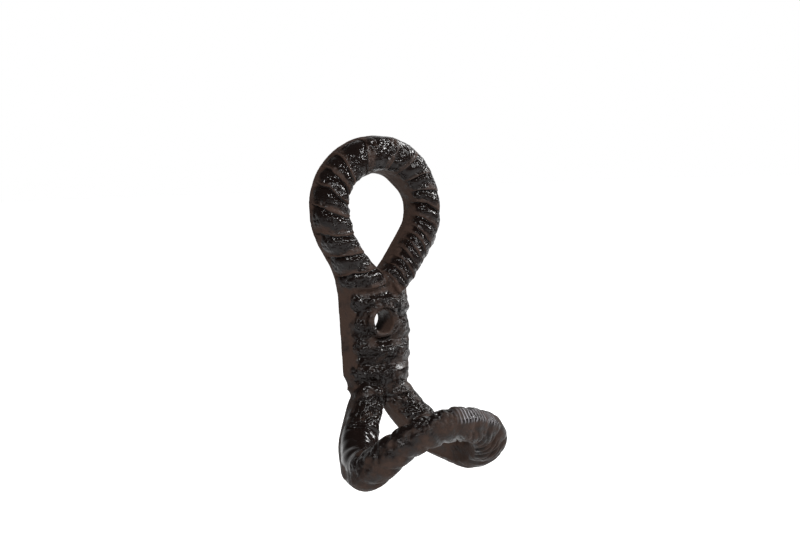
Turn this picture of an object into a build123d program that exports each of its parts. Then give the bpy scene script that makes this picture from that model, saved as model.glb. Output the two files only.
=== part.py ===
"""A cast-iron wall hook in the form of one rope, doubled and bound.

The rope makes a teardrop eye at the top, is wrapped round four times at the shank, where one
screw holds it, and parts again below into a long loop that bends forward and up as the hook.
It is a single casting: the back is flat, the side walls have draft, and the lay of the rope
stands up on the face. On the hook the lay is cast on the inner and on the outer face.
"""

import os
from math import acos, atan2, cos, hypot, pi, radians, sin

from build123d import *

# Millimetres and degrees. The origin is the screw hole's axis in the wall plane. The hook comes
# forward along -Y, and +Z is up.

# The screw hole, with a small chamfer at its mouth, in a low round boss that fills the groove
# there. It was cored a little left of the middle.
HOLE_RADIUS = 4.8
HOLE_CHAMFER = 0.6
HOLE_FROM_MIDDLE = 2.4
BOSS_WALL = 1.8
BOSS_DEPTH = 12.4

# The wrapped shank narrows downwards at its back. Its necks above and below the turns are lower.
SHANK_TOP = 17.0
SHANK_BOTTOM = -30.0
SHANK_TOP_WIDTH = 34.2
SHANK_BOTTOM_WIDTH = 30.6
FACE_TOP_WIDTH = 26.4
FACE_BOTTOM_WIDTH = 22.4
SHANK_SIDE_HEIGHT = 7.0
SHANK_DEPTH = 13.1
NECK_DEPTH = 9.5
WRAP_TOP = 11.5
WRAP_BOTTOM = -28.0
WRAP_COUNT = 4
WRAP_RELIEF = 1.9

# The rope's lay: parallel lobes that cross each limb at a slant, with a groove between lobes.
LAY_ANGLE = 24.0
LAY_RELIEF = 1.1

# The two limbs leave the shank side by side, this far apart at their centrelines. Under the
# wraps their faces rise only this far above their sides.
LIMB_SPREAD = 9.2
LIMB_ROOT_CROWN = 2.6

# The eye: a circle that two straight limbs leave as tangents, down to the shank. It leans a
# little to the right, and its limbs are a little wider at the crown than at the foot.
EYE_CENTRE = 46.0
EYE_RADIUS = 22.8
EYE_FOOT = 11.6
EYE_LEAN = 1.2
EYE_FOOT_WIDTH = 14.5
EYE_CROWN_WIDTH = 15.2
EYE_DRAFT = 0.9
EYE_SIDE_HEIGHT = 5.2
EYE_DEPTH = 12.8
LAY_PITCH_LEFT = 8.3
LAY_PITCH_RIGHT = 6.2

# The hook: a second teardrop of the same rope, laid on a J-shaped sheet. The sheet drops, turns
# forward through the bend and runs straight to the tip. The casting is deepest in the bend.
HOOK_ROOT = -28.5
HOOK_OFF_WALL = 0.4
HOOK_DROP = 3.0
BEND_RADIUS = 22.4
BEND_ANGLE = 136.0
HOOK_LOOP_REACH = 45.0
HOOK_LOOP_RADIUS = 26.4
HOOK_LIMB_WIDTH = 13.8
HOOK_ROOT_DEPTH = 13.0
HOOK_BEND_DEPTH = 17.2
HOOK_TIP_DEPTH = 12.6
INNER_CROWN = 5.3
OUTER_CROWN = 3.4
HOOK_LAY_PITCH = 7.2
# The hook's outer face is flat at the wall and has its full crown from here on. The lay starts
# to show on it halfway round the bend.
CROWNED_FROM = 24.0
FLAT_CROWN = 0.6
OUTER_LAY_START = 32.0
OUTER_LAY_FULL = 42.0

# A lobe rises from its groove within this share of its length, on either flank.
FLANK_SHARE = 0.26
# At its edges a groove is this much shallower than at the middle of the face.
EDGE_RELIEF_SHARE = 0.5
# The parts of the casting reach this far into one another, so that they join as one solid.
JOIN_OVERLAP = 3.0


class Teardrop:
    """The centreline of one doubled rope, drawn flat: up a straight limb, round a circle and down
    the other limb. Its feet are at height 0, and length is measured from the left foot."""

    def __init__(self, spread, height, radius):
        self.foot = spread / 2
        self.height = height
        self.radius = radius
        reach = hypot(self.foot, height)
        self.limb = (reach**2 - radius**2) ** 0.5
        self.start = pi - atan2(-height, self.foot) - acos(radius / reach)
        self.half = self.limb + radius * (self.start - pi / 2)

    def at(self, length):
        """The point (x, height) and the heading there, as (x, height) parts of a unit vector."""
        if length > self.half:
            x, height, heading_x, heading_height = self.at(2 * self.half - length)
            return -x, height, heading_x, -heading_height
        turned = max(0.0, length - self.limb) / self.radius
        angle = self.start - turned
        along_limb = min(length, self.limb) - self.limb
        x = self.radius * cos(angle) + along_limb * sin(self.start)
        height = self.height + self.radius * sin(angle) - along_limb * cos(self.start)
        return x, height, sin(angle), -cos(angle)


def eye_sheet(x, height):
    """The wall plane, measured upwards from the eye's feet: the point there, the way on, and the
    direction that the face looks."""
    return Vector(x, 0, EYE_FOOT + height), Vector(0, 0, 1), Vector(0, -1, 0)


def hook_sheet(x, length):
    """The J-shaped sheet at half the hook's depth, measured down and round from the shank: the
    point there, the way on, and the direction that the inner face looks."""
    angle = min(max(length - HOOK_DROP, 0) / BEND_RADIUS, radians(BEND_ANGLE))
    straight = max(length - HOOK_DROP - BEND_RADIUS * radians(BEND_ANGLE), 0)
    forward = HOOK_OFF_WALL + HOOK_ROOT_DEPTH / 2
    forward += BEND_RADIUS * (1 - cos(angle)) + straight * sin(angle)
    drop = min(length, HOOK_DROP) + BEND_RADIUS * sin(angle) + straight * cos(angle)
    point = Vector(x, -forward, HOOK_ROOT - drop)
    return point, Vector(0, -sin(angle), -cos(angle)), Vector(0, -cos(angle), sin(angle))


def lay_plane(drop, sheet, length, slant):
    """The plane of one slanted cross-section: local X points out of the loop, local Y out of the
    face. A positive slant leans the outer end on along the rope."""
    x, height, heading_x, heading_height = drop.at(length)
    point, on, normal = sheet(x, height)
    heading = Vector(heading_x, 0, 0) + on * heading_height
    outward = Vector(-heading_height, 0, 0) + on * heading_x
    across = outward * cos(slant) + heading * sin(slant)
    return Plane(point, x_dir=across, z_dir=across.cross(normal))


def section(plane, low, high, half_low, half_high, top, bottom=None):
    """One closed cross-section: sides that lean in from low to high, a rounded face that reaches
    top, and a back that is flat or that reaches bottom."""
    sides = Line((half_low, low), (half_high, high)) + Line((-half_high, high), (-half_low, low))
    face = ThreePointArc((half_high, high), (0, top), (-half_high, high))
    if bottom is None:
        back = Line((-half_low, low), (half_low, low))
    else:
        back = ThreePointArc((-half_low, low), (0, bottom), (half_low, low))
    return plane * make_face(sides + face + back)


def lobes(start, end, pitch):
    """The stations of a run of lobes, as (length, sunk): a groove, which is sunk, the shoulders of
    the lobe, which are not, and so on to the last groove."""
    count = max(1, round((end - start) / pitch))
    step = (end - start) / count
    stations = [(start, True)]
    for number in range(count):
        low = start + number * step
        stations += [(low + FLANK_SHARE * step, False), (low + (1 - FLANK_SHARE) * step, False)]
        stations.append((low + step, True))
    return stations


def smooth(share):
    """Eases from 0 to 1 as share does, level at both ends."""
    share = min(max(share, 0), 1)
    return share * share * (3 - 2 * share)


def shank_section(z, depth, side):
    """One level cross-section of the shank, with soft corners to its face."""
    share = (SHANK_TOP - z) / (SHANK_TOP - SHANK_BOTTOM)
    half_low = (SHANK_TOP_WIDTH + (SHANK_BOTTOM_WIDTH - SHANK_TOP_WIDTH) * share) / 2
    half_high = (FACE_TOP_WIDTH + (FACE_BOTTOM_WIDTH - FACE_TOP_WIDTH) * share) / 2
    outline = Line((half_low, 0), (half_high, side)) + Line((-half_high, side), (-half_low, 0))
    outline += EllipticalCenterArc((0, side), half_high, depth - side, 0, arc_size=180)
    outline += Line((-half_low, 0), (half_low, 0))
    return Plane((0, 0, z), x_dir=(1, 0, 0), z_dir=(0, 0, -1)) * make_face(outline)


def shank():
    """The wrapped column: a plain neck above and below, and rounded turns between them."""
    sections = [shank_section(SHANK_TOP, NECK_DEPTH, SHANK_SIDE_HEIGHT)]
    for down, sunk in lobes(0, WRAP_TOP - WRAP_BOTTOM, (WRAP_TOP - WRAP_BOTTOM) / WRAP_COUNT):
        sink = WRAP_RELIEF if sunk else 0
        side = SHANK_SIDE_HEIGHT - sink * EDGE_RELIEF_SHARE
        sections.append(shank_section(WRAP_TOP - down, SHANK_DEPTH - sink, side))
    sections.append(shank_section(SHANK_BOTTOM, NECK_DEPTH, SHANK_SIDE_HEIGHT))
    return loft(sections, ruled=True)


def eye_limb(drop, start, end, pitch):
    """One side of the eye, flat at the back, with lobes of the given pitch on its face."""
    slant = radians(LAY_ANGLE)
    sections = []
    for length, sunk in lobes(start, end, pitch):
        up = smooth(drop.at(length)[1] / drop.height)
        width = EYE_FOOT_WIDTH + (EYE_CROWN_WIDTH - EYE_FOOT_WIDTH) * up
        half_low = width / 2 / cos(slant)
        half_high = (width / 2 - EYE_DRAFT) / cos(slant)
        sink = LAY_RELIEF if sunk else 0
        high = EYE_SIDE_HEIGHT - sink * EDGE_RELIEF_SHARE
        top = high + LIMB_ROOT_CROWN if drop.at(length)[1] <= 0 else EYE_DEPTH - sink
        plane = lay_plane(drop, eye_sheet, length, slant)
        sections.append(section(plane, 0, high, half_low, half_high, top))
    return loft(sections, ruled=True)


def eye():
    """The teardrop eye, in two halves that meet in one groove at its crown."""
    drop = Teardrop(LIMB_SPREAD, EYE_CENTRE - EYE_FOOT, EYE_RADIUS)
    left = eye_limb(drop, -JOIN_OVERLAP, drop.half, LAY_PITCH_LEFT)
    right = eye_limb(drop, drop.half, 2 * drop.half + JOIN_OVERLAP, LAY_PITCH_RIGHT)
    foot = Pos(0, 0, EYE_FOOT)
    return foot * Rot(0, EYE_LEAN, 0) * foot.inverse() * (left + right)


def hook_depth(length):
    """The hook's depth along the sheet: it grows to the middle of the bend and thins to the tip."""
    middle = HOOK_DROP + BEND_RADIUS * radians(BEND_ANGLE) / 2
    end = HOOK_LOOP_REACH + HOOK_LOOP_RADIUS
    swell = (HOOK_BEND_DEPTH - HOOK_ROOT_DEPTH) * smooth((length - HOOK_DROP) / (middle - HOOK_DROP))
    thinning = (HOOK_BEND_DEPTH - HOOK_TIP_DEPTH) * smooth((length - middle) / (end - middle))
    return HOOK_ROOT_DEPTH + swell - thinning


def hook_limb(drop, start, end):
    """One side of the hook's loop, with lobes on its inner and on its outer face."""
    slant = radians(LAY_ANGLE)
    half = HOOK_LIMB_WIDTH / 2 / cos(slant)
    sections = []
    for length, sunk in lobes(start, end, HOOK_LAY_PITCH):
        from_shank = drop.at(length)[1]
        half_depth = hook_depth(from_shank) / 2
        outer_crown = FLAT_CROWN + (OUTER_CROWN - FLAT_CROWN) * smooth(from_shank / CROWNED_FROM)
        sink = LAY_RELIEF if sunk else 0
        outer_share = (from_shank - OUTER_LAY_START) / (OUTER_LAY_FULL - OUTER_LAY_START)
        outer_sink = sink * smooth(outer_share)
        high = half_depth - INNER_CROWN - sink * EDGE_RELIEF_SHARE
        low = outer_crown - half_depth + outer_sink * EDGE_RELIEF_SHARE
        inner = high + LIMB_ROOT_CROWN if from_shank <= 0 else half_depth - sink
        outer = outer_sink - half_depth
        plane = lay_plane(drop, hook_sheet, length, -slant)
        sections.append(section(plane, low, high, half, half, inner, outer))
    return loft(sections, ruled=True)


def hook():
    """The hook's closed loop, in two halves that meet in one groove at the tip."""
    drop = Teardrop(LIMB_SPREAD, HOOK_LOOP_REACH, HOOK_LOOP_RADIUS)
    left = hook_limb(drop, -JOIN_OVERLAP, drop.half)
    right = hook_limb(drop, drop.half, 2 * drop.half + JOIN_OVERLAP)
    return left + right


def boss():
    """The round boss that the screw hole goes through."""
    disc = Cylinder(HOLE_RADIUS + BOSS_WALL, BOSS_DEPTH)
    return Pos(0, -BOSS_DEPTH / 2, 0) * Rot(90, 0, 0) * disc


def screw_hole():
    """The clear hole and the chamfer at its mouth, as one solid to be cut away."""
    bore = Cylinder(HOLE_RADIUS, 4 * SHANK_DEPTH)
    flare = Cone(HOLE_RADIUS, HOLE_RADIUS + SHANK_DEPTH, SHANK_DEPTH)
    mouth = Pos(0, 0, SHANK_DEPTH - HOLE_CHAMFER + SHANK_DEPTH / 2)
    return Rot(90, 0, 0) * (bore + mouth * flare)


casting = Pos(HOLE_FROM_MIDDLE, 0, 0) * (shank() + eye() + hook())
rope_hook = casting + boss() - screw_hole()

os.makedirs("parts", exist_ok=True)
export_step(rope_hook, "parts/rope_hook.step")
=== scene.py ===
import math

import bpy
import numpy as np
from mathutils import Matrix, Vector, noise


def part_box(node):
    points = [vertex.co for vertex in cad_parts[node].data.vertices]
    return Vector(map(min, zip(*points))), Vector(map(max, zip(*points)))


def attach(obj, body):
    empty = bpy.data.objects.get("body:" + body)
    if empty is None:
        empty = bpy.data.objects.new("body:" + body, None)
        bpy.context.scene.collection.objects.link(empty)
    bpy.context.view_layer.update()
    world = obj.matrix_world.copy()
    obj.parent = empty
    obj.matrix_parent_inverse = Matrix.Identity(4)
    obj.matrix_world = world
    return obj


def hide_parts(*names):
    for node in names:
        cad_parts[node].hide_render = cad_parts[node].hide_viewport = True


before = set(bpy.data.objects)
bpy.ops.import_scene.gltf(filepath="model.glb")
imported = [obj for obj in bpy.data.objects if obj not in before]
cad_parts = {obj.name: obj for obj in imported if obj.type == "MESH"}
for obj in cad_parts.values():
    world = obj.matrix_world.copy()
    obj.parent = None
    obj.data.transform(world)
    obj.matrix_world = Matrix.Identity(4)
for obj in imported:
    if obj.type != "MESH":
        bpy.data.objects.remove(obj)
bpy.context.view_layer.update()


# ---------------------------------------------------------------------------------------------
# The casting. One piece of grey iron, sand cast in the form of a bound rope: the relief stands on
# its faces, its side walls are smooth with a little taper, and its back is flat. One screw through
# the shank holds it on the wall. The iron is brown with oxide, under a black and glossy wax.
# ---------------------------------------------------------------------------------------------

# The skin is a merged copy of the solid, rebuilt as an even net of small faces and softened.
MERGED_WITHIN = 0.000002
SKIN_CELL = 0.00034
SOFTENING = 9

bpy.ops.object.select_all(action="DESELECT")
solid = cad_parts["rope_hook"]
casting = bpy.data.objects.new("rope_casting", solid.data.copy())
bpy.context.scene.collection.objects.link(casting)
casting.select_set(True)
bpy.context.view_layer.objects.active = casting
bpy.ops.object.mode_set(mode="EDIT")
bpy.ops.mesh.select_all(action="SELECT")
bpy.ops.mesh.remove_doubles(threshold=MERGED_WITHIN)
bpy.ops.mesh.normals_make_consistent(inside=False)
bpy.ops.object.mode_set(mode="OBJECT")
bpy.ops.mesh.customdata_custom_splitnormals_clear()
casting.data.remesh_voxel_size = SKIN_CELL
casting.data.remesh_voxel_adaptivity = 0
bpy.ops.object.voxel_remesh()


def finish_with(piece, name, kind, **settings):
    """Puts a modifier with these settings on the piece, and applies it."""
    modifier = piece.modifiers.new(name, kind)
    for setting, value in settings.items():
        setattr(modifier, setting, value)
    bpy.ops.object.select_all(action="DESELECT")
    piece.select_set(True)
    bpy.context.view_layer.objects.active = piece
    bpy.ops.object.modifier_apply(modifier=modifier.name)


finish_with(casting, "soften", "SMOOTH", factor=0.5, iterations=SOFTENING)


def points(piece):
    """The piece's vertices in millimetres, as an array with a row for each."""
    flat = np.empty(len(piece.data.vertices) * 3)
    piece.data.vertices.foreach_get("co", flat)
    return flat.reshape(-1, 3) * 1000


def facings(piece):
    """The way that the surface looks at each vertex, from the faces that meet there."""
    piece.data.calc_loop_triangles()
    corners = np.empty(len(piece.data.loop_triangles) * 3, dtype=int)
    piece.data.loop_triangles.foreach_get("vertices", corners)
    first, second, third = corners.reshape(-1, 3).T
    spots = points(piece)
    looks = np.cross(spots[second] - spots[first], spots[third] - spots[first])
    sums = np.zeros_like(spots)
    for corner in (first, second, third):
        np.add.at(sums, corner, looks)
    return sums / np.maximum(np.linalg.norm(sums, axis=1), 1e-9)[:, None]


def ease(low, high, value):
    """Rises smoothly from 0 to 1 while the value goes from low to high."""
    share = np.clip((value - low) / (high - low), 0, 1)
    return share * share * (3 - 2 * share)


def between(low, full, last, end, value):
    """Rises from 0 at low to 1 at full, and falls from 1 at last to 0 at end."""
    return ease(low, full, value) * (1 - ease(last, end, value))


def bell(value, middle, width):
    """1 at the middle, and next to nothing two widths away."""
    return np.exp(-(((value - middle) / width) ** 2))


# The rope's course in millimetres. Two limbs leave the shank side by side, run straight and go on
# round a circle. The eye's course lies on the wall, and leans a little. The hook's course lies on
# a sheet that drops from the shank, bends forward and runs straight to the tip. The strands cross
# the eye at a slant, the lay.
MIDDLE_X = 2.4
ROPE_APART = 9.2
LAY = math.tan(math.radians(24))
EYE_FOOT, EYE_RISE, EYE_RADIUS, EYE_LEAN = 11.6, 34.4, 22.8, math.radians(1.2)
HOOK_START, HOOK_MID_DEPTH, HOOK_DROP = -28.5, 6.9, 3.0
BEND_RADIUS, BEND_ANGLE = 22.4, math.radians(136)
LOOP_REACH, LOOP_RADIUS = 45.0, 26.4


def rope_place(across, up, rise, radius):
    """Length along a doubled rope and distance out from its centreline, drawn flat."""
    foot = ROPE_APART / 2
    reach = math.hypot(foot, rise)
    limb = math.sqrt(reach**2 - radius**2)
    tangent = -math.atan2(rise, foot) + math.acos(radius / reach)
    half = limb + radius * (math.pi / 2 - tangent)
    side = np.abs(across)
    angle = np.arctan2(up - rise, side)
    run_x = (radius * math.cos(tangent) - foot) / limb
    run_up = (rise + radius * math.sin(tangent)) / limb
    round_top = angle > tangent
    along_limb = (side - foot) * run_x + up * run_up
    out_limb = (side - foot) * run_up - up * run_x
    along = np.where(round_top, limb + radius * (angle - tangent), along_limb)
    out = np.where(round_top, np.hypot(side, up - rise) - radius, out_limb)
    return np.where(across > 0, 2 * half - along, along), out, half


here = points(casting)
across = here[:, 0] - MIDDLE_X
front = -here[:, 1]
height = here[:, 2]

up = height - EYE_FOOT
eye_across = across * math.cos(EYE_LEAN) - up * math.sin(EYE_LEAN)
eye_up = across * math.sin(EYE_LEAN) + up * math.cos(EYE_LEAN)
eye_along, eye_out, eye_half = rope_place(eye_across, eye_up, EYE_RISE, EYE_RADIUS)

# On the hook's sheet, down is the length from the shank, and inward the height over the sheet.
pivot_front = HOOK_MID_DEPTH + BEND_RADIUS
pivot_height = HOOK_START - HOOK_DROP
turn = np.arctan2(pivot_height - height, pivot_front - front)
turn = np.where(turn < -math.pi / 2, turn + 2 * math.pi, turn)
end_front = pivot_front - BEND_RADIUS * math.cos(BEND_ANGLE)
end_height = pivot_height - BEND_RADIUS * math.sin(BEND_ANGLE)
past = (front - end_front) * math.sin(BEND_ANGLE) - (height - end_height) * math.cos(BEND_ANGLE)
over = (front - end_front) * math.cos(BEND_ANGLE) + (height - end_height) * math.sin(BEND_ANGLE)
from_pivot = np.hypot(pivot_front - front, pivot_height - height)
places = [turn < 0, turn > BEND_ANGLE]
down = np.select(places, [HOOK_START - height, HOOK_DROP + BEND_RADIUS * BEND_ANGLE + past],
                 HOOK_DROP + BEND_RADIUS * turn)
inward = np.select(places, [front - HOOK_MID_DEPTH, over], BEND_RADIUS - from_pivot)
hook_along, hook_out, hook_half = rope_place(across, down, LOOP_REACH, LOOP_RADIUS)

# Which part of the casting each vertex is in, with soft borders in the two joints.
EYE_BORDER = (13, 17)
HOOK_BORDER = (29, 32)
CLEAR_OF_SHANK = (14.5, 16.5)
HOLE_EDGE = (5.2, 6.2)
from_hole = np.hypot(here[:, 0], height)
in_eye = ease(*EYE_BORDER, height)
in_hook = ease(*HOOK_BORDER, -height) * ease(-2, 2, down)
in_hook = np.maximum(in_hook, ease(*CLEAR_OF_SHANK, front))
in_shank = np.clip(1 - in_eye - in_hook, 0, 1)
left_eye = eye_along < eye_half
left_hook = hook_along < hook_half
near_shank = 1 - ease(14, 19, down)

# The eye is levelled to a full round, and so are the joints and the hook's pocket, where the
# pattern was filled to a hollow. The strands are laid on again further down.
LEVELLING = 90
EYE_JOINT, HOOK_JOINT = 17.5, -29.0
joint = np.maximum(bell(height, EYE_JOINT, 4.5), bell(height, HOOK_JOINT, 3.5))
joint *= 1 - ease(8, 12, front)
pocket = left_hook * ease(13, 17, down) * (1 - ease(46, 52, hook_along)) * ease(-1, 2, inward)
pocket *= in_hook
level = np.maximum(np.maximum(joint, pocket), ease(15, 19, height) * ease(0.6, 2.5, front))
level *= ease(6.5, 8.5, from_hole)
levelled = casting.vertex_groups.new(name="levelled")
for tenth in range(1, 11):
    chosen = np.nonzero(np.round(level * 10) == tenth)[0]
    levelled.add(chosen.tolist(), tenth / 10, "REPLACE")
finish_with(casting, "fillet", "SMOOTH", factor=0.9, iterations=LEVELLING, vertex_group="levelled")
here = points(casting)
facing = facings(casting)


def drift(size, fade, finer, layers):
    """Noise at each vertex, with swells of this size in millimetres."""
    return np.array([noise.fractal(Vector(spot) / size, fade, finer, layers) for spot in here])


def pebbled(size, fill):
    """Round pebbles at each vertex: 1 at a pebble's middle and 0 between pebbles."""
    gaps = np.array([noise.voronoi(Vector(spot) / size)[0][0] for spot in here])
    return np.clip(1 - gaps * fill, 0, 1)


# What roughens the relief below: slow and quick unevenness, sand beads and larger lumps.
slow = drift(6.0, 1.0, 2.0, 3)
quick = drift(2.4, 0.8, 2.1, 2)
bead = pebbled(1.5, 1.9)
lump = pebbled(3.6, 1.3)

# Where the surface is one of the mould's faces, and not a side wall. On the eye's outer side the
# strands run on over the edge, and on the shank the turns' crowns sag over it unevenly.
turned = 0.45 * ease(0, 4, eye_out) + 0.5 * ease(1, 4, -eye_out) * ease(98, 112, eye_along)
eye_face = ease(0.25, 0.6, -facing[:, 1] + turned) * ease(0.3, 2.4, front) * in_eye
sagging = ease(4.0, 6.5, front + 4.5 * slow + 1.5 * quick) * (1 - ease(28, 33, -height))
sagging *= ease(*HOLE_EDGE, from_hole)
shank_face = np.maximum(ease(0.5, 0.75, -facing[:, 1]), sagging) * in_shank
bend = np.clip(down - HOOK_DROP, 0, BEND_RADIUS * BEND_ANGLE) / BEND_RADIUS
looks_in = -facing[:, 1] * np.cos(bend) + facing[:, 2] * np.sin(bend)
inner_face = ease(0.25, 0.6, looks_in) * in_hook
outer_face = ease(0.25, 0.6, -looks_in) * in_hook * ease(26, 36, down)
rim = (1 - ease(0.55, 0.85, np.abs(looks_in))) * in_hook * ease(4, 5.5, hook_out)

# The eye's strands: where each one ends along the rope, up the left limb and down the right one.
# Each is full in its middle, with a thin raised lip along one edge and a hollow under the lip. They
# are shallow round the crown and where they lie close, and fade towards the right limb's outside.
STRANDS_LEFT = (-6, 3, 11, 20, 29, 38, 45, 50.5, 56, 66)
STRANDS_RIGHT = (80, 88, 95.5, 103, 110, 117.5, 123.5, 128, 131.5, 135.5, 139.5, 144, 149)
STRAND_RELIEF, CROWN_RELIEF, FULL_PITCH = 1.35, 0.35, 7
LIP_HEIGHT, HOLLOW_DEPTH, STRAND_FULLNESS, STRAND_BASE = 0.30, 0.70, 0.50, 0.15
ends = STRANDS_LEFT + STRANDS_RIGHT
lay_at = eye_along - eye_out * LAY
count = np.interp(lay_at + 0.6 * slow, ends, range(len(ends)))
share = count - np.floor(count)
pitch = np.diff(ends)[np.clip(count.astype(int), 0, len(ends) - 2)]
under = np.where(left_eye, (1 - share) * pitch, share * pitch)
above = pitch - under
crown = between(56, 63, 86, 96, eye_along)
depth = (STRAND_RELIEF + (CROWN_RELIEF - STRAND_RELIEF) * crown) * np.minimum(1, pitch / FULL_PITCH)
depth *= ease(-7.5, -5, eye_out)
depth *= 1 - 0.6 * ease(1.5, 5, eye_out) * ~left_eye
depth *= 1 - 0.8 * ease(2, 5.5, eye_out) * ~left_eye * (1 - ease(112, 122, eye_along))
relief = LIP_HEIGHT * bell(above, 0.4, 0.8) - HOLLOW_DEPTH * bell(under, 0.2, 1.5)
relief += STRAND_FULLNESS * np.sin(math.pi * share) - STRAND_BASE
rise = eye_face * depth * relief

# The shank: four turns with lumpy crowns, and a raised ring round the screw hole with a groove
# round that.
TURN_COUNT, TURN_TOP, TURN_PITCH, TURN_SLOPE = 4, 11.5, 9.875, 0.10
TURN_LUMPS, TURN_GROOVE = 0.6, 0.6
RING_RADIUS, RING_GROOVE_RADIUS, RING_HEIGHT = 6.2, 8.4, 0.7
turns = (TURN_TOP - height - TURN_SLOPE * across) / TURN_PITCH + 0.10 * slow
turn_share = turns - np.floor(turns)
on_turns = between(-0.1, 0.1, TURN_COUNT - 0.1, TURN_COUNT + 0.1, turns)
lumpy = TURN_LUMPS * lump * bell(turn_share, 0.4, 0.3) - TURN_GROOVE * bell(turn_share, 0.78, 0.14)
ringed = bell(from_hole, RING_RADIUS, 0.7) - bell(from_hole, RING_GROOVE_RADIUS, 0.9)
rise += shank_face * (on_turns * lumpy + RING_HEIGHT * ringed)

# The lumps and hollows of the turns, and where the pattern swells or draws in. Each is a spot (x,
# y, z), with how far it spreads and how much it stands out. The small ones are beaded with sand
# where they stand out, and where they are sunk they get more black wax, which is painted shade.
SMALL_SPOT = 3
SPOTS = (
    (-10.4, -7.4, 9.3, 2.2, 0.8), (-5.4, -11.8, 8.4, 2.0, 0.8), (0.6, -13.0, 8.8, 2.4, 0.8),
    (8.3, -12.4, 7.3, 2.6, 1.0), (-6.8, -11.0, -4.8, 2.6, 0.6), (9.0, -11.5, -2.0, 2.6, 0.7),
    (-9.3, -8.8, -4.3, 2.0, -1.0), (-5.9, -11.3, -15.3, 2.4, -1.1), (2.0, -12.8, -16.5, 2.4, -0.8),
    (-5.4, -11.4, -25.4, 2.4, -1.0), (-7.9, -10.0, -10.6, 1.9, 0.8), (-3.5, -12.3, -11.6, 1.9, 0.9),
    (1.8, -13.1, -12.1, 2.2, 0.9), (9.5, -11.9, -13.1, 2.4, 0.9), (-6.7, -10.7, -20.6, 1.9, 0.8),
    (-2.1, -12.6, -21.8, 2.0, 1.0), (1.6, -12.9, -20.5, 2.0, 0.8), (-10.5, -5.5, -10.8, 1.4, 0.5),
    (-9.7, -6.0, -20.9, 1.4, 0.5), (-12.1, -1.9, -20.8, 1.2, 0.4), (-2.5, -12.3, -28.8, 2.0, 0.6),
    (14.5, -8.0, 4.0, 2.4, 0.4), (14.5, -8.0, -7.5, 3.0, 1.0), (14.5, -8.0, -17.0, 3.0, 1.1),
    (14.5, -8.0, -12.5, 2.0, -0.6), (14.5, -8.0, -1.0, 2.0, -0.7), (14.5, -8.0, -23.0, 3.0, -0.4),
    (-9.8, -7.6, -0.3, 1.8, 0.7), (-9.6, -7.8, -8.6, 1.8, 0.7), (-9.4, -7.8, -14.8, 1.9, -0.9),
    (-9.2, -7.8, -18.9, 1.8, 0.7), (-8.8, -8.0, -24.6, 1.9, -0.9), (-10.0, -7.4, 4.2, 1.7, -0.7),
    (15.0, -7.0, 11.0, 3.0, -0.7), (18.0, -4.5, 17.5, 5.0, -0.9), (5.0, -6.0, 21.0, 4.0, 0.6),
    (2.4, -6.0, 18.5, 3.0, 2.0), (-14.5, -1.0, 18.0, 5.0, 1.3), (13.5, -10.0, 9.5, 3.2, -1.9),
    (-27.5, -40.0, -58.5, 8.0, 0.8), (25.0, -34.0, -61.0, 6.0, 0.6),
    (-29.0, -38.0, -60.0, 6.0, 0.6), (17.7, -22.3, -57.2, 6.0, -1.5), (2.2, -58.8, -30.0, 5.0, 0.9),
    (19.4, -57.4, -34.1, 4.0, -0.7), (-31.0, -27.0, -57.0, 4.0, -0.6), (-13.5, -0.5, -27.0, 3.0, -1.2),
)
beady = np.zeros(len(here))
sunk_wax_and_shade = np.zeros(len(here))
for x, y, z, spread, lift in SPOTS:
    reach = np.sqrt(((here - (x, y, z)) ** 2).sum(1))
    rise += lift * bell(reach, 0, spread)
    if spread < SMALL_SPOT and lift > 0:
        beady += bell(reach, 0, 1.3 * spread)
    if spread < SMALL_SPOT and lift < 0:
        sunk_wax_and_shade += bell(reach, 0, 1.3 * spread)

# Where the outline swells or draws in along the ropes' edges: the place along the rope, how far it
# reaches, the side (1 outer, -1 inner), and how much it stands out. The last two of the eye's are
# the ends of its crotch.
EYE_EDGES = (
    (33, 10, 1, -0.7), (106, 9, 1, -0.7), (62, 6, 1, -0.15), (8, 6, 1, 0.7),
    (20, 6, -1, -0.9), (51, 7, -1, -0.4), (125, 7, -1, -0.3), (95, 8, -1, 0.9), (35, 7, -1, 0.7),
    (6, 4, -1, 0.9), (2 * eye_half - 6, 4, -1, 0.9),
)
HOOK_EDGES = ((25, 8, 1, 1.0), (117, 8, 1, 0.7), (24, 8, -1, 0.6), (166, 9, 1, 0.5))
EYE_SWELL, CROWN_SWELL, WALL_SWELL = 0.4, 0.6, 0.5


def swell(along, out, edges):
    """How far a rope's edges stand out at each vertex."""
    total = np.zeros(len(along))
    for place, reach, side, lift in edges:
        total += lift * bell(along, place, reach) * ease(3, 6, side * out)
    return total


rise += in_eye * swell(eye_along, eye_out, EYE_EDGES)
rise += in_hook * swell(hook_along, hook_out, HOOK_EDGES)
crown_inside = between(56, 66, 88, 100, eye_along) * ease(0, 5, -eye_out)
crown_outside = bell(eye_along, 83, 8) * ease(2, 5, eye_out)
rise += in_eye * (EYE_SWELL * ease(1.5, 4, front) + CROWN_SWELL * (crown_inside + crown_outside))
rise += WALL_SWELL * in_shank * ease(0.5, 0.8, -facing[:, 0])

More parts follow.
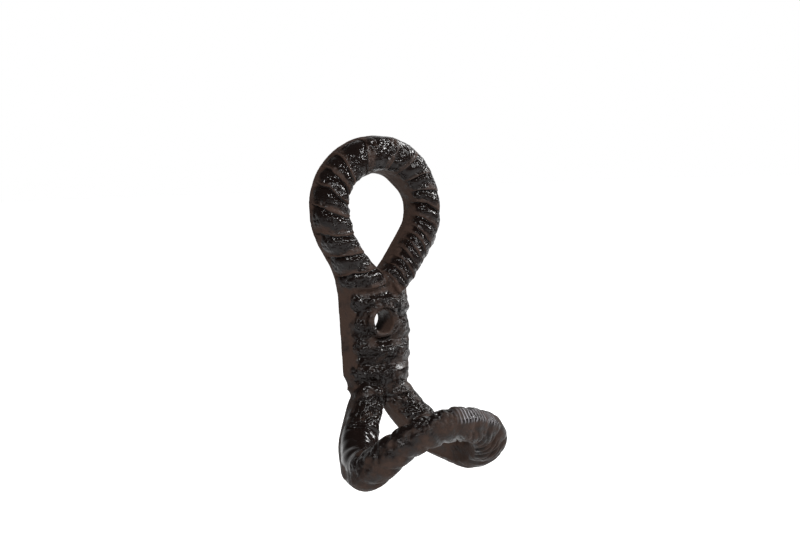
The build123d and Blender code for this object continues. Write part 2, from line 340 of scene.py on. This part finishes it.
# The hook: one ring round the left limb, lumps and three folds across the rim, thin ribs that fan
# out on the tip's outer face, and fine teeth across its rim.
RING_AT, RING_WIDTH, RIB_PITCH, RIB_HEIGHT, TEETH_PITCH = 21, 0.7, 3.2, 0.85, 1.3
FOLDS = ((63, 0.8), (69, 0.8), (75, 0.9))
past_ring = hook_along - 0.10 * hook_out - RING_AT
rise += inner_face * (0.5 * bell(past_ring, 0, RING_WIDTH) - 0.7 * bell(past_ring, 1.6, 0.9))
rise += rim * between(46, 52, 88, 92, hook_along) * (0.5 * lump + 0.25 * quick - 0.1)
fold_at = hook_along - 0.35 * inward
for place, width in FOLDS:
    rise -= 0.8 * rim * bell(fold_at, place, width) * ease(-2, 1, -inward)
fan = between(90, 97, 122, 128, hook_along) * ease(0.2, 0.5, -looks_in) * ease(-4, -1.5, -hook_out)
fan_at = (hook_along + 1.1 * hook_out) / RIB_PITCH
rise += RIB_HEIGHT * in_hook * fan * (np.abs(np.sin(math.pi * fan_at)) ** 0.6 - 0.6)
teeth = between(89, 93, 107, 110, hook_along) * ease(5, 6.2, hook_out)
teeth *= ease(-4.2, -3.2, inward - 0.5 * quick) * ease(-2.5, -1.5, -inward)
teeth *= np.clip(0.85 + 0.9 * slow + 0.4 * quick, 0.25, 1.15)

# Bead-like sand grain, in clusters on the crowns of the strands and of the turns.
BEAD_HEIGHT, QUICK_HEIGHT, SLOW_HEIGHT = 0.22, 0.10, 0.05
patchy = ease(-0.25, 0.3, slow)
strand_middle = np.clip(np.minimum(above, under) / 1.6, 0, 1)
crotch = bell(np.hypot(across - 3, height - 16), 0, 6)
crotch *= ease(0.3, 0.7, -facing[:, 1]) * ease(8, 10, front)
grain = eye_face * strand_middle * patchy + shank_face * 1.3 * beady + 0.8 * crotch
grain += inner_face * (near_shank + 0.5 * ease(60, 70, down) * patchy)
grain += rim * between(48, 56, 89, 92, hook_along) * (0.4 + 0.6 * ease(76, 80, hook_along))
grain = np.clip(grain, 0, 1)
rough_face = np.clip(eye_face + shank_face + inner_face - 2 * pocket, 0, 1)
rise += BEAD_HEIGHT * bead * grain + QUICK_HEIGHT * quick * rough_face + SLOW_HEIGHT * slow
here += facing * rise[:, None]

# The back is flat, and stays on the wall.
here[:, 1] = np.minimum(here[:, 1], 0)
casting.data.vertices.foreach_set("co", (here / 1000).ravel())
casting.data.update()

# Black wax lies on the lower half of each strand and on the turns, thickest where they are sunk, and
# in the hook's pocket, with more on the hook's rim and outer face. Besides wax this is painted shade:
# the black stands for the shade under the lips, in the sunk spots and the pocket, and on the rim.
band = np.where(eye_out > 0, ease(2.0, 5.5, front), ease(-7.0, -5.0, eye_out))
wax_and_shade = eye_face * band * (0.36 + 0.64 * ease(0.15, 0.5, above / pitch))
wax_and_shade += shank_face * (0.42 + 0.6 * sunk_wax_and_shade + 0.2 * beady - 0.5 * bell(height, 13, 1.6))
wax_and_shade += inner_face * ((0.15 + 0.2 * left_hook) * near_shank + 0.3)
wax_and_shade += pocket + 0.08 * outer_face + 0.3 * teeth
wax_and_shade += rim * (0.20 + 0.5 * between(48, 56, 88, 92, hook_along) * ease(-1, 3, inward))

# What the material reads at each vertex. Dull is how rough the fine tooth is, and it is least in
# the pocket. Strand counts the strands, and comb the teeth.
KEPT = {
    "wax_and_shade": np.clip(wax_and_shade, 0, 1),
    "grain": grain,
    # The hook's rim and outer face, darkened in the material: painted shade.
    "painted_shade": np.clip(rim + outer_face, 0, 1),
    "dull": 1.6 - 1.45 * pocket,
    "strand": np.where(left_eye, count, -count),
    "lips": np.clip(eye_face * depth, 0, 1),
    "comb": (hook_along + 0.35 * slow + 0.25 * quick) / TEETH_PITCH,
    "teeth": teeth,
}
for name, values in KEPT.items():
    layer = casting.data.attributes.new(name, "FLOAT", "POINT")
    layer.data.foreach_set("value", values)

# A quad of the net counts as two faces.
MOST_FACES = 192000
finish_with(casting, "thin", "DECIMATE", ratio=MOST_FACES / (2 * len(casting.data.polygons)))
bpy.ops.object.shade_smooth()


# The material: brown oxide with wax in black, glossy patches, the black also laid on as painted shade,
# the strands' lips and the teeth's crests painted lighter as highlights, and a sandy skin.
BROWN_OXIDE = (0.030, 0.0165, 0.0115, 1)
BLACK_WAX_AND_SHADE = (0.005, 0.003, 0.0025, 1)
TOOTH_HIGHLIGHT_GREY = (0.17, 0.16, 0.17, 1)
OXIDE_ENDS, WAX_AND_SHADE_STARTS = 0.50, 0.70
OXIDE_ROUGHNESS, WAX_ROUGHNESS = 0.78, 0.17
PATCHES, PEBBLES, FINE_TOOTH = 140, 560, 1000
PEBBLE_RELIEF, LIP_RELIEF, TEETH_RELIEF, SKIN_RELIEF = -6.0, 2.5, 0.9, 0.00016


def reckon(tree, operation, *values):
    """What a Math node makes of these values: each is a number or another node's output."""
    node = tree.nodes.new("ShaderNodeMath")
    node.operation = operation
    for socket, value in zip(node.inputs, values):
        if isinstance(value, bpy.types.NodeSocket):
            tree.links.new(value, socket)
        else:
            socket.default_value = value
    return node.outputs["Value"]


def spread_over(tree, value, start, end, kind="LINEAR"):
    """The value, brought from the range start to the range end."""
    node = tree.nodes.new("ShaderNodeMapRange")
    node.interpolation_type = kind
    node.inputs["From Min"].default_value, node.inputs["From Max"].default_value = start
    node.inputs["To Min"].default_value, node.inputs["To Max"].default_value = end
    tree.links.new(value, node.inputs["Value"])
    return node.outputs["Result"]


def kept_value(tree, name):
    """One of the values that the casting keeps at each vertex."""
    node = tree.nodes.new("ShaderNodeAttribute")
    node.attribute_name = name
    return node.outputs["Fac"]


iron = bpy.data.materials.new("waxed cast iron")
iron.use_nodes = True
tree = iron.node_tree
shader = tree.nodes["Principled BSDF"]
shader.inputs["IOR"].default_value = 1.5
shader.inputs["Specular IOR Level"].default_value = 0.18
on_casting = tree.nodes.new("ShaderNodeTexCoord").outputs["Object"]

patch = tree.nodes.new("ShaderNodeTexNoise")
patch.inputs["Scale"].default_value = PATCHES
patch.inputs["Detail"].default_value = 7
patch.inputs["Roughness"].default_value = 0.68
tree.links.new(on_casting, patch.inputs["Vector"])
waxed_and_shaded = reckon(tree, "MULTIPLY_ADD", kept_value(tree, "wax_and_shade"), 0.35, patch.outputs["Fac"])

# The thin raised lip along the edge of each strand, painted lighter: a painted highlight.
across_strand = reckon(tree, "FRACT", kept_value(tree, "strand"))
edge = spread_over(tree, across_strand, (0.0, 0.12), (1.0, 0.0), "SMOOTHSTEP")
lip = reckon(tree, "MULTIPLY", edge, kept_value(tree, "lips"))
tone_with_lip_highlight = reckon(tree, "MULTIPLY_ADD", lip, -0.25, waxed_and_shaded)

# The hook's rim and outer face are pushed towards black: painted shade.
tone_with_painted_shade = reckon(tree, "MULTIPLY_ADD", kept_value(tree, "painted_shade"), 0.07, tone_with_lip_highlight)
# Brown oxide to black wax. The black is partly wax and partly painted shade.
colour = tree.nodes.new("ShaderNodeValToRGB")
oxide_stop, wax_stop = colour.color_ramp.elements
oxide_stop.position, oxide_stop.color = OXIDE_ENDS, BROWN_OXIDE
wax_stop.position, wax_stop.color = WAX_AND_SHADE_STARTS, BLACK_WAX_AND_SHADE
tree.links.new(tone_with_painted_shade, colour.inputs["Fac"])
gloss = spread_over(tree, tone_with_lip_highlight, (OXIDE_ENDS, WAX_AND_SHADE_STARTS), (OXIDE_ROUGHNESS, WAX_ROUGHNESS))
tree.links.new(gloss, shader.inputs["Roughness"])

# The sand's grain: round beads about a millimetre across on the faces, and a fine tooth all over.
pebbles = tree.nodes.new("ShaderNodeTexVoronoi")
pebbles.feature = "SMOOTH_F1"
pebbles.inputs["Scale"].default_value = PEBBLES
pebbles.inputs["Smoothness"].default_value = 0.2
tree.links.new(on_casting, pebbles.inputs["Vector"])
rounded = reckon(tree, "MULTIPLY", pebbles.outputs["Distance"], pebbles.outputs["Distance"])
raised = reckon(tree, "MULTIPLY", rounded, kept_value(tree, "grain"))
tooth = tree.nodes.new("ShaderNodeTexNoise")
tooth.inputs["Scale"].default_value = FINE_TOOTH
tooth.inputs["Detail"].default_value = 2
tree.links.new(on_casting, tooth.inputs["Vector"])
fine = reckon(tree, "MULTIPLY", tooth.outputs["Fac"], kept_value(tree, "dull"))
skin = reckon(tree, "MULTIPLY_ADD", raised, PEBBLE_RELIEF, fine)
skin = reckon(tree, "MULTIPLY_ADD", lip, LIP_RELIEF, skin)

# The fine teeth on the tip's rim, whose crests are painted a pale grey: a painted highlight.
comb_turn = reckon(tree, "MULTIPLY", kept_value(tree, "comb"), 2 * math.pi)
crests = reckon(tree, "MULTIPLY", reckon(tree, "SINE", comb_turn), kept_value(tree, "teeth"))
skin = reckon(tree, "MULTIPLY_ADD", crests, TEETH_RELIEF, skin)
FIRST_COLOUR, SECOND_COLOUR, MIXED_COLOUR = 6, 7, 2
tooth_highlight = tree.nodes.new("ShaderNodeMix")
tooth_highlight.data_type = "RGBA"
tree.links.new(crests, tooth_highlight.inputs["Factor"])
tree.links.new(colour.outputs["Color"], tooth_highlight.inputs[FIRST_COLOUR])
tooth_highlight.inputs[SECOND_COLOUR].default_value = TOOTH_HIGHLIGHT_GREY
tree.links.new(tooth_highlight.outputs[MIXED_COLOUR], shader.inputs["Base Color"])

bump = tree.nodes.new("ShaderNodeBump")
bump.inputs["Strength"].default_value = 1.0
bump.inputs["Distance"].default_value = SKIN_RELIEF
tree.links.new(skin, bump.inputs["Height"])
tree.links.new(bump.outputs["Normal"], shader.inputs["Normal"])

casting.data.materials.clear()
casting.data.materials.append(iron)
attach(casting, "root")
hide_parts("rope_hook")


# ---------------------------------------------------------------------------------------------
# The studio: white paper well below the hook, and a surround that is white behind it. What the
# casting mirrors is white behind too, and dim in front, so that the black wax stays dark.
# ---------------------------------------------------------------------------------------------
PAPER_SIZE, PAPER_BELOW = 30, 0.13
PAPER_WHITE = (0.9, 0.9, 0.9, 1)
BEHIND_ON_PAPER = (0.54, 0.84, 0)
BEHIND_IN_ROOM = (0.54, 0.84, -0.8)
ROOM_LIGHT = 0.25


def white_behind(tree, direction, behind):
    """How white a ray finds the background: full for the camera, and less for a mirrored ray."""
    rays = tree.nodes.new("ShaderNodeLightPath").outputs
    towards = tree.nodes.new("ShaderNodeVectorMath")
    towards.operation = "DOT_PRODUCT"
    towards.inputs[1].default_value = behind
    tree.links.new(direction, towards.inputs[0])
    dimmed = spread_over(tree, towards.outputs["Value"], (0.2, 0.85), (0.05, 0.65), "SMOOTHSTEP")
    mirrored = reckon(tree, "MAXIMUM", rays["Is Glossy Ray"], rays["Is Transmission Ray"])
    return reckon(tree, "MAXIMUM", rays["Is Camera Ray"], reckon(tree, "MULTIPLY", mirrored, dimmed))


low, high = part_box("rope_hook")
bpy.ops.mesh.primitive_plane_add(size=PAPER_SIZE, location=(0, 0, low.z - PAPER_BELOW))
floor = bpy.context.object
floor.name = "floor"
paper = bpy.data.materials.new("white paper")
paper.use_nodes = True
tree = paper.node_tree
paper_shader = tree.nodes["Principled BSDF"]
paper_shader.inputs["Base Color"].default_value = PAPER_WHITE
paper_shader.inputs["Roughness"].default_value = 0.9
paper_shader.inputs["Specular IOR Level"].default_value = 0.1
paper_shader.inputs["Emission Color"].default_value = (1, 1, 1, 1)
on_paper = tree.nodes.new("ShaderNodeTexCoord").outputs["Object"]
outward = tree.nodes.new("ShaderNodeVectorMath")
outward.operation = "NORMALIZE"
tree.links.new(on_paper, outward.inputs[0])
away = tree.nodes.new("ShaderNodeVectorMath")
away.operation = "LENGTH"
tree.links.new(on_paper, away.inputs[0])
glow = spread_over(tree, away.outputs["Value"], (0.3, 2.0), (0.45, 0.85))
white = white_behind(tree, outward.outputs["Vector"], BEHIND_ON_PAPER)
tree.links.new(reckon(tree, "MULTIPLY", white, glow), paper_shader.inputs["Emission Strength"])
floor.data.materials.append(paper)

world = bpy.data.worlds.new("surround")
bpy.context.scene.world = world
world.use_nodes = True
tree = world.node_tree
in_room = tree.nodes.new("ShaderNodeTexCoord").outputs["Generated"]
diffuse_ray = tree.nodes.new("ShaderNodeLightPath").outputs["Is Diffuse Ray"]
room = reckon(tree, "MULTIPLY", diffuse_ray, ROOM_LIGHT)
white = white_behind(tree, in_room, BEHIND_IN_ROOM)
tree.links.new(reckon(tree, "MAXIMUM", white, room), tree.nodes["Background"].inputs["Strength"])
tree.nodes["Background"].inputs["Color"].default_value = (1, 1, 1, 1)
bpy.context.scene.view_settings.view_transform = "Standard"

# Four soft boxes round the hook, each turned to its middle: place, width and power in watts.
SOFT_BOXES = {
    "soft box left": ((-0.60, -0.60, 0.60), 0.17, 9.5),
    "soft box front": ((0.30, -0.80, 0.65), 0.17, 6.0),
    "soft box right": ((0.90, -0.35, 0.50), 0.17, 10.0),
    "soft box back": ((0.74, 0.21, 0.68), 0.22, 4.0),
}
hook_middle = Vector((0.002, -0.03, 0.005))
for name, (spot, width, power) in SOFT_BOXES.items():
    bpy.ops.object.light_add(type="AREA", location=spot)
    lamp = bpy.context.object
    lamp.name = name
    lamp.data.shape = "SQUARE"
    lamp.data.size = width
    lamp.data.energy = power
    lamp.rotation_mode = "QUATERNION"
    lamp.rotation_quaternion = (hook_middle - Vector(spot)).to_track_quat("-Z", "Y")


# ---------------------------------------------------------------------------------------------
# The camera, near eye level and to the hook's front left, tilted a little. Its lens is set from
# the scale: how wide a metre at the aim's distance looks, where the picture is 800 wide.
# ---------------------------------------------------------------------------------------------
AZIMUTH = math.radians(-32.577)
ELEVATION = math.radians(4.81)
TILT = math.radians(-1.661)
DISTANCE = 0.4735
AIM_RIGHT = 0.011695
AIM_UP = 0.021428
SCALE = 2361.0
PICTURE_WIDTH = 800
SENSOR_WIDTH = 36

back = Vector((
    math.sin(AZIMUTH) * math.cos(ELEVATION),
    -math.cos(AZIMUTH) * math.cos(ELEVATION),
    math.sin(ELEVATION),
))
right = Vector((math.cos(AZIMUTH), math.sin(AZIMUTH), 0))
up = back.cross(right)
aim = Vector((MIDDLE_X / 1000, 0, 0)) + right * AIM_RIGHT + up * AIM_UP
side = right * math.cos(TILT) + up * math.sin(TILT)
top = up * math.cos(TILT) - right * math.sin(TILT)
bpy.ops.object.camera_add()
camera = bpy.context.object
camera.name = "camera"
pose = Matrix((side, top, back)).transposed().to_4x4()
camera.matrix_world = Matrix.Translation(aim + back * DISTANCE) @ pose
camera.data.sensor_width = SENSOR_WIDTH
camera.data.lens = SCALE * DISTANCE * SENSOR_WIDTH / PICTURE_WIDTH
camera.data.clip_start = 0.01
camera.data.clip_end = 60
bpy.context.scene.camera = camera
